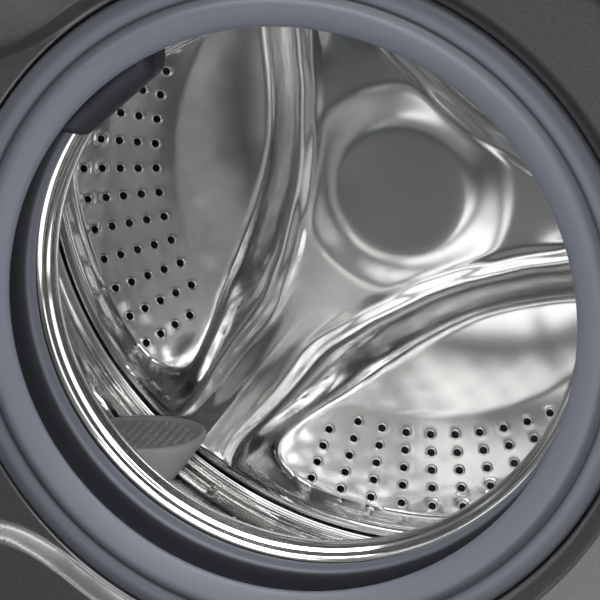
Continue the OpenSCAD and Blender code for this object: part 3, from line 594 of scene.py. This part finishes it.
shell_rings = [(1.75 * MM, 0), (1.6 * MM, -0.3 * MM), (1.6 * MM, -1.0 * MM)]


def shell_place_for(middle):
    """Puts a grid of place y and angle on the shell, round a lifter at this angle."""

    def place(y, a, height):
        r = DRUM_R - 0.6 * MM - shell_relief(a, y)
        if height is None:
            inward = -np.array([math.cos(middle + a[0]), 0, math.sin(middle + a[0])])
            round_it = np.array([-math.sin(middle + a[0]), 0, math.cos(middle + a[0])])
            here = np.array([0, y[0], AXIS_Z]) - inward * r[0]
            return here, np.cross(round_it, inward), round_it
        return np.stack([r * np.cos(middle + a), y, r * np.sin(middle + a) + AXIS_Z], 1)

    return place


for number, arm in enumerate(STAR_ANGLES, 1):
    wall = punched_sheet(
        f"drum_shell_panel_{number}",
        shell_y,
        shell_a,
        shell_place_for(math.radians(arm)),
        shell_holes,
        1,
        shell_rings,
        bright_steel,
    )
    thicken(wall, 0.5 * MM)
    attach(wall, "drum")
    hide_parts("drum_shell")

# --- Drum front: a turned-over stainless ring that closes the shell and leads the wash to the mouth.
# Its edge is rolled and polished, with fine spun lines.


def turned_piece(name, profile, material, steps):
    """Spins a closed profile of radius and place y, in millimetres, round the drum axis."""
    bpy.ops.object.select_all(action="DESELECT")
    mesh = bpy.data.meshes.new(name)
    edges = [(i, i + 1) for i in range(len(profile) - 1)] + [(len(profile) - 1, 0)]
    mesh.from_pydata([(r * MM, y * MM, AXIS_Z) for r, y in profile], edges, [])
    piece = bpy.data.objects.new(name, mesh)
    bpy.context.scene.collection.objects.link(piece)
    mesh.materials.append(material)
    bpy.context.view_layer.objects.active = piece
    piece.select_set(True)
    bpy.ops.object.mode_set(mode="EDIT")
    bpy.ops.mesh.select_all(action="SELECT")
    bpy.ops.mesh.spin(steps=steps, angle=2 * math.pi, center=(0, 0, AXIS_Z), axis=(0, 1, 0))
    bpy.ops.mesh.select_all(action="SELECT")
    bpy.ops.mesh.remove_doubles(threshold=0.00002)
    bpy.ops.mesh.normals_make_consistent(inside=False)
    bpy.ops.object.mode_set(mode="OBJECT")
    mesh.polygons.foreach_set("use_smooth", [True] * len(mesh.polygons))
    return piece


def rounded(profile):
    """Cuts a closed profile's corners twice, so that it bends in short curves."""
    points = [np.array(p, float) for p in profile]
    for _ in range(2):
        cut = []
        for a, b in zip(points, points[1:] + points[:1]):
            cut += [a * 0.75 + b * 0.25, a * 0.25 + b * 0.75]
        points = cut
    return [tuple(p) for p in points]


mirror_steel = finish_of("polished_stainless", "#dcdcda", 0.12, 1.0)
grain(mirror_steel, 1.2, 0.006, strength=0.12)
ring_profile = [(239.9, -214), (239.9, -221), (236, -226), (228, -228.3), (205, -228), (170, -228.3), (160, -228.4)]
ring_profile += [(156, -229.6), (152.5, -231.6), (149, -232.4), (145.4, -231.9), (143.6, -230.2), (142.9, -228.4)]
ring_profile += [(142.2, -227.6), (140.6, -226.2), (139.3, -223), (139.1, -218.5), (140.4, -214.4), (143.5, -212.6)]
ring_profile += [(144, -213.8), (141.8, -215.4), (140.6, -219), (140.9, -222.6), (143, -225.8), (146.6, -228.8)]
ring_profile += [(149, -230.4), (152, -229.6), (155.5, -227.8)]
ring_profile += [(160, -226.6), (170, -226.5), (205, -226.2), (227, -226.4), (234, -224.6), (238.2, -220.6)]
ring_profile += [(238.3, -214)]
front_ring = turned_piece("drum_front_ring", rounded(ring_profile), mirror_steel, steps=240)
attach(front_ring, "drum")
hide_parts("drum_front")

# --- Lifters: hollow moulded paddles in grey plastic, clipped into the shell behind each star arm.
# The ramp face is a pad of small nubs in a raised oval border, and the other face is steep and plain.
grey_moulding = finish_of("lifter_plastic", "#b4b4b4", 0.4, 0.0, Specular_IOR_Level=0.5)
mottle(grey_moulding, 25, "#afafb0", "#bababa")
grain(grey_moulding, 0.9, 0.03, strength=0.2)
LIFTER_MIDDLE_Y = -40.5 * MM
RAMP_FROM = (187.0, 0.0)
RAMP_TO = (233.5, -58.0)
LIFTER_HALF_WIDTH = 32.5
LIFTER_FOOT_R = 240.5


def lifter_points():
    """Rings of a lifter from its foot to the flat of its ramp, as radial, sideways and y places in mm."""
    steps = 72
    t = np.arange(steps) * 2 * math.pi / steps
    along = np.array([RAMP_TO[0] - RAMP_FROM[0], RAMP_TO[1] - RAMP_FROM[1]])
    length = np.hypot(*along)
    along = along / length
    lift = np.array([along[1], -along[0]])
    if lift[0] > 0:
        lift = -lift
    ring_list = []
    oval = LIFTER_HALF_WIDTH * np.sign(np.sin(t)) * np.abs(np.sin(t)) ** 0.85
    ellipse = np.stack([length * (0.5 - 0.5 * np.cos(t)), oval], 1)
    border = [(1.0, -3.2), (1.0, -1.2), (0.985, 0.2), (0.955, 0.9), (0.92, 0.8), (0.89, -0.4), (0.87, -1.3)]
    flat = [(0.84, -1.5), (0.7, -1.5), (0.45, -1.5), (0.2, -1.5)]
    mid = length * 0.5
    for scale, up in border + flat:
        u = mid + (ellipse[:, 0] - mid) * scale
        spot = np.array(RAMP_FROM)[None] + u[:, None] * along[None] + up * lift[None]
        ring_list.append(np.column_stack([spot, ellipse[:, 1] * scale]))
    rim = ring_list[0]
    foot_list = []
    for share in (1.0, 0.75, 0.5, 0.25):
        ring = rim.copy()
        foot_r = np.sqrt(np.maximum(LIFTER_FOOT_R**2 - np.minimum(ring[:, 1], 3) ** 2, 0))
        ring[:, 0] = ring[:, 0] + (foot_r - ring[:, 0]) * share
        ring[:, 1] = ring[:, 1] + (2.5 - ring[:, 1]) * 0.22 * share * (1 - ring[:, 1] / -62)
        ring[:, 2] = ring[:, 2] * (1 - 0.30 * share * smooth((20 + ring[:, 1]) / 60 + 0.4))
        foot_list.append(ring)
    return foot_list + ring_list, steps, along, lift, length


def lifter_place(points, arm):
    """Turns radial, sideways and y places in millimetres into the machine's frame, at a star arm."""
    out = np.array([math.cos(arm), 0, math.sin(arm)])
    side = np.array([-math.sin(arm), 0, math.cos(arm)])
    points = np.asarray(points, float)
    y = (LIFTER_MIDDLE_Y + points[:, 2] * MM)[:, None] * np.array([[0, 1, 0]])
    return points[:, :1] * MM * out + points[:, 1:2] * MM * side + y + np.array([[0, 0, AXIS_Z]])


lifter_rings, lifter_steps, ramp_along, ramp_lift, ramp_length = lifter_points()
nubs = []
for i, u in enumerate(np.arange(9, ramp_length - 6, 5.4)):
    for k in range(-6, 7):
        w = 5.0 * (k + 0.5 * (i % 2))
        if ((u - ramp_length / 2) / (ramp_length * 0.40)) ** 2 + (w / 26) ** 2 < 1:
            nubs.append((u, w))
for number, arm in enumerate(STAR_ANGLES, 1):
    body = np.concatenate(lifter_rings)
    faces = grid_faces(len(lifter_rings), lifter_steps, closed=True)
    last = (len(lifter_rings) - 1) * lifter_steps
    body = np.vstack([body, lifter_rings[-1].mean(0), lifter_rings[0].mean(0)])
    top_point, foot_point = len(body) - 2, len(body) - 1
    for k in range(lifter_steps):
        m = (k + 1) % lifter_steps
        faces.append((last + k, last + m, top_point))
        faces.append((m, k, foot_point))
    points = [body]
    count = len(body)
    for u, w in nubs:
        base = np.array(RAMP_FROM) + u * ramp_along
        for radius, up in ((1.6, -1.7), (1.45, -0.8), (0.95, -0.25)):
            for k in range(8):
                q = k * math.pi / 4
                spot = base + radius * math.cos(q) * ramp_along + up * ramp_lift
                points.append(np.array([[spot[0], spot[1], w + radius * math.sin(q)]]))
        tip = base - 0.05 * ramp_lift
        points.append(np.array([[tip[0], tip[1], w]]))
        for level in range(2):
            for k in range(8):
                m = (k + 1) % 8
                start = count + 8 * level
                faces.append((start + k, start + m, start + 8 + m, start + 8 + k))
        for k in range(8):
            faces.append((count + 16 + k, count + 16 + (k + 1) % 8, count + 24))
        count += 25
    paddle = mesh_piece(
        f"lifter_{number}_moulding", lifter_place(np.concatenate(points), math.radians(arm)), faces, grey_moulding
    )
    face_outwards(paddle)
    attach(paddle, "drum")
    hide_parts(f"lifter_{number}")

# --- Door gasket: a moulded grey rubber bellows between the cabinet and the tub.
# Its front lip grips the flange of the front panel, and its fold takes up the tub's movement.
blue_grey_rubber = finish_of("gasket_rubber", "#6c717d", 0.44, 0.0, Specular_IOR_Level=0.4, Sheen_Weight=0.1)
# The rubber's colour changes with radius and carries painted shade: darkest in the groove near 163 mm, darker again
# towards the outer edge, and lighter on the faces between.
RUBBER_TONES_AND_PAINTED_SHADE = [(144, "#767a86"), (146.2, "#767a86"), (147.5, "#787d88"), (155, "#7b808c"), (159, "#6d717b")]
RUBBER_TONES_AND_PAINTED_SHADE += [(161.8, "#54575e"), (163.1, "#303236"), (164.7, "#6c717a"), (167.5, "#767b87"), (171, "#5a5e66")]
RUBBER_TONES_AND_PAINTED_SHADE += [(176, "#4d5057")]
rubber_place = add_node(blue_grey_rubber, "ShaderNodeTexCoord")
rubber_depth = add_node(blue_grey_rubber, "ShaderNodeSeparateXYZ", {"Vector": rubber_place.outputs["Object"]})
rubber_radius = axis_radius(blue_grey_rubber)
tone_from, tone_to = RUBBER_TONES_AND_PAINTED_SHADE[0][0], RUBBER_TONES_AND_PAINTED_SHADE[-1][0]
rubber_tone_and_painted_shade = add_node(
    blue_grey_rubber, "ShaderNodeValToRGB", {"Fac": between(blue_grey_rubber, rubber_radius, tone_from, tone_to)}
)
for at, tone in RUBBER_TONES_AND_PAINTED_SHADE[1:-1]:
    rubber_tone_and_painted_shade.color_ramp.elements.new((at - tone_from) / (tone_to - tone_from)).color = linear(tone)
rubber_tone_and_painted_shade.color_ramp.elements[0].color = linear(RUBBER_TONES_AND_PAINTED_SHADE[0][1])
rubber_tone_and_painted_shade.color_ramp.elements[-1].color = linear(RUBBER_TONES_AND_PAINTED_SHADE[-1][1])
# Painted shade: the rubber deeper than the lip and outside 147.4 mm radius is coloured near black, where the fold's
# shadow falls.
in_fold = between(blue_grey_rubber, rubber_radius, 145.8, 147.4)
behind_lip = between(blue_grey_rubber, rubber_depth.outputs["Y"], -276.8, -275)
fold_shade_share = add_node(blue_grey_rubber, "ShaderNodeMath", {0: in_fold, 1: behind_lip}, operation="MULTIPLY")
fold_painted_shade = add_node(
    blue_grey_rubber,
    "ShaderNodeMix",
    {0: fold_shade_share.outputs[0], 6: rubber_tone_and_painted_shade.outputs["Color"]},
    data_type="RGBA",
)
fold_painted_shade.inputs[7].default_value = linear("#2b2d32")
blue_grey_rubber.node_tree.links.new(
    fold_painted_shade.outputs[2], blue_grey_rubber.node_tree.nodes["Principled BSDF"].inputs["Base Color"]
)
grain(blue_grey_rubber, 1.1, 0.02, strength=0.15)
LAND_Y = -279
gasket_section = [(175.6, 9), (175.6, 2.5), (175.8, -1), (171, -2.5), (165, -2.6), (163, -0.6), (161, -2.6)]
gasket_section += [(158, -6), (153, -5), (147, -2), (144.6, 1), (147, 3), (158, 5), (167, 9), (169.5, 16), (168, 24)]
gasket_section += [(160, 29), (149, 30), (145.4, 31.5), (144.4, 36), (145, 42.5), (150, 44), (151, 41), (162.5, 40)]
gasket_section += [(163, 33.5), (170.5, 28), (172.3, 20), (172.3, 11), (168, 6.5), (164, 1.5), (168, 1)]
gasket_section += [(172.5, 4), (173, 9)]
gasket = turned_piece(
    "gasket_bellows", rounded([(r, LAND_Y + y) for r, y in gasket_section]), blue_grey_rubber, steps=288
)
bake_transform(gasket)
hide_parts("door_gasket")

NOZZLE_FROM, NOZZLE_TO = 117.5, 146.5
NOZZLE_CHORD = 132.5
NOZZLE_STEPS = 40
nozzle_rows = []
for share in np.linspace(0, 1, NOZZLE_STEPS + 1):
    a = math.radians(NOZZLE_FROM + (NOZZLE_TO - NOZZLE_FROM) * share)
    middle = math.radians((NOZZLE_FROM + NOZZLE_TO) / 2)
    chord = NOZZLE_CHORD / math.cos(a - middle)
    ends = float(smooth(np.array(min(share, 1 - share) / 0.16)))
    inner_r = 148 - (148 - chord) * ends
    section = [(149.5, -275), (inner_r + 6, -272), (inner_r + 1.2, -266), (inner_r, -262), (inner_r + 0.4, -246)]
    section += [(inner_r + 2.5, -242), (149.5, -240)]
    nozzle_rows.append([(r * MM * math.cos(a), y * MM, r * MM * math.sin(a) + AXIS_Z) for r, y in rounded(section)])
around = len(nozzle_rows[0])
nozzle_faces = grid_faces(len(nozzle_rows), around, closed=True)
last = NOZZLE_STEPS * around
nozzle_faces += [tuple(range(around)), tuple(reversed(range(last, last + around)))]
dark_rubber = finish_of("nozzle_rubber", "#2a2d35", 0.5, 0.0, Specular_IOR_Level=0.35)
mottle(dark_rubber, 30, "#26292f", "#32363f")
nozzle = mesh_piece("gasket_spray_nozzle", [p for row in nozzle_rows for p in row], nozzle_faces, dark_rubber)
face_outwards(nozzle)
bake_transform(nozzle)

# --- Plastics, castings and plated steel of the other parts.
# Each is the common grade for that part, with its moulding or casting grain.
black_moulding = finish_of("black_moulding", "#1d1e20", 0.35, 0.0)
grain(black_moulding, 0.8, 0.03, strength=0.2)
smoke_moulding = finish_of("smoke_grey_moulding", "#63666a", 0.36, 0.0)
grain(smoke_moulding, 0.8, 0.03, strength=0.2)
white_moulding = finish_of("white_moulding", "#d9dbd8", 0.4, 0.0)
grain(white_moulding, 1.0, 0.04, strength=0.2)
display_glass = finish_of("display_glass", "#0b0c0e", 0.08, 0.0, Coat_Weight=1.0, Coat_Roughness=0.03)
bowl_glass = finish_of("door_bowl_glass", "#f1f6f5", 0.03, 0.0, Transmission_Weight=1.0, IOR=1.5)
zinc_plate = finish_of("zinc_plate", "#b2b5b8", 0.34, 1.0)
mottle(zinc_plate, 9, "#a3a6aa", "#c0c2c4", detail=3.0)
cast_metal = finish_of("cast_aluminium", "#a7a8a8", 0.5, 0.9)
grain(cast_metal, 1.4, 0.12, strength=0.4)
concrete = finish_of("ballast_concrete", "#9d9b94", 0.9, 0.0)
mottle(concrete, 12, "#8c8a84", "#adaba4", detail=6.0)
grain(concrete, 3, 0.5, strength=0.6)
foot_rubber = finish_of("foot_rubber", "#232425", 0.8, 0.0)
grain(foot_rubber, 1.2, 0.05, strength=0.3)
by_slot = {
    "black_plastic": black_moulding,
    "grey_plastic": smoke_moulding,
    "white_plastic": white_moulding,
    "display_black": display_glass,
    "door_bowl_glass": bowl_glass,
    "zinc_plate": zinc_plate,
    "cast_aluminium": cast_metal,
    "concrete": concrete,
    "foot_rubber": foot_rubber,
    "cabinet_enamel": graphite_enamel,
    "drum_stainless": bright_steel,
    "gasket_rubber": blue_grey_rubber,
}
for name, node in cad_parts.items():
    current = node.data.materials[0].name.split(".")[0] if node.data.materials else ""
    if current in by_slot:
        paint_node([name], by_slot[current])

# --- Control fascia: the tub of the drawer is white, and its front is dark like the strip it closes.
# Round the knob is a scale of short marks, and a row of small lamps stands under the display.
drawer_finish = finish_of("drawer_moulding", "#1d1e20", 0.35, 0.0)
drawer_place = add_node(drawer_finish, "ShaderNodeTexCoord")
drawer_depth = add_node(drawer_finish, "ShaderNodeSeparateXYZ", {"Vector": drawer_place.outputs["Object"]})
is_tub = add_node(
    drawer_finish, "ShaderNodeMath", {0: drawer_depth.outputs["Y"]}, operation="GREATER_THAN", use_clamp=True
)
is_tub.inputs[1].default_value = -289 * MM
drawer_tone = add_node(drawer_finish, "ShaderNodeMix", {0: is_tub.outputs[0]}, data_type="RGBA")
drawer_tone.inputs[6].default_value = linear("#232427")
drawer_tone.inputs[7].default_value = linear("#d9dbd8")
drawer_finish.node_tree.links.new(
    drawer_tone.outputs[2], drawer_finish.node_tree.nodes["Principled BSDF"].inputs["Base Color"]
)
paint_node([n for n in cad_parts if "drawer" in n], drawer_finish)

mark_paint = finish_of("mark_paint", "#c9ccd0", 0.5, 0.0)
lamp_window = finish_of("lamp_window", "#dfe9f2", 0.3, 0.0, Emission_Color=linear("#cfe4ff"), Emission_Strength=1.5)
FASCIA_FRONT = -300 * MM
KNOB_Z = 774
SCALE_R = 34
WINDOW_PLACES = [78 + 26 * k for k in range(5)]


def flat_marks(name, marks, material, carrier, y, lift):
    """Small plates on a front face: each has a middle, a half width, a half height and a turn."""
    points, faces = [], []
    for mx, mz, half_x, half_z, turned in marks:
        c, s = math.cos(turned), math.sin(turned)
        start = len(points)
        for depth in (0.0, lift):
            for u, v in ((-1, -1), (1, -1), (1, 1), (-1, 1)):
                du, dv = u * half_x, v * half_z
                points.append(((mx + du * c - dv * s) * MM, y + 0.02 * MM - depth * MM, (mz + du * s + dv * c) * MM))
        faces.append((start + 4, start + 5, start + 6, start + 7))
        for k in range(4):
            m = (k + 1) % 4
            faces.append((start + k, start + m, start + 4 + m, start + 4 + k))
    piece = mesh_piece(name, points, faces, material)
    piece.data.polygons.foreach_set("use_smooth", [False] * len(piece.data.polygons))
    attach(piece, carrier)
    return piece


scale_marks = []
for k in range(16):
    a = math.radians(90 + 22.5 * k)
    half_length = 2.2 if k % 4 == 0 else 1.3
    scale_marks.append((SCALE_R * math.cos(a), KNOB_Z + SCALE_R * math.sin(a), half_length, 0.5, a))
scale_marks += [(x, 746, 5, 0.6, 0) for x in WINDOW_PLACES]
flat_marks("fascia_marks", scale_marks, mark_paint, "cabinet", FASCIA_FRONT, 0.12)
windows = [(x, 740.5, 1.2, 1.2, 0) for x in WINDOW_PLACES]
flat_marks("fascia_lamp_windows", windows, lamp_window, "cabinet", FASCIA_FRONT, 0.15)
